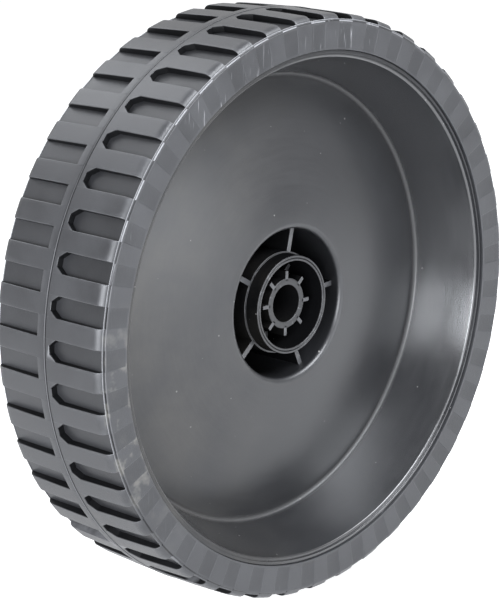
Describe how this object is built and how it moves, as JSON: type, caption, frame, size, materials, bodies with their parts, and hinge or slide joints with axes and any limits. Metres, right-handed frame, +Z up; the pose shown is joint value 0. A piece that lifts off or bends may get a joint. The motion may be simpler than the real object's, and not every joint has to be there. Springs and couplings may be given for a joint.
{
  "type": "lawn mower wheel",
  "caption": "Dished plastic lawn mower wheel with a finned axle bush, a deep rim and a block-tread tyre.",
  "frame": {"origin": "the wheel's centre, on the axle line midway across the tyre", "axes": "+Y along the axle towards the machine, -Y the dished outer face, +Z up"},
  "size_m": [0.203, 0.0523, 0.203],
  "materials": {
    "tyre": "dull grey moulded tyre compound with scuffed sidewalls",
    "wheel_plastic": "satin grey moulded plastic, glossier in the barrel"
  },
  "bodies": {
    "root": {"tyre": "tyre", "wheel_body": "wheel_plastic"}
  },
  "joints": []
}
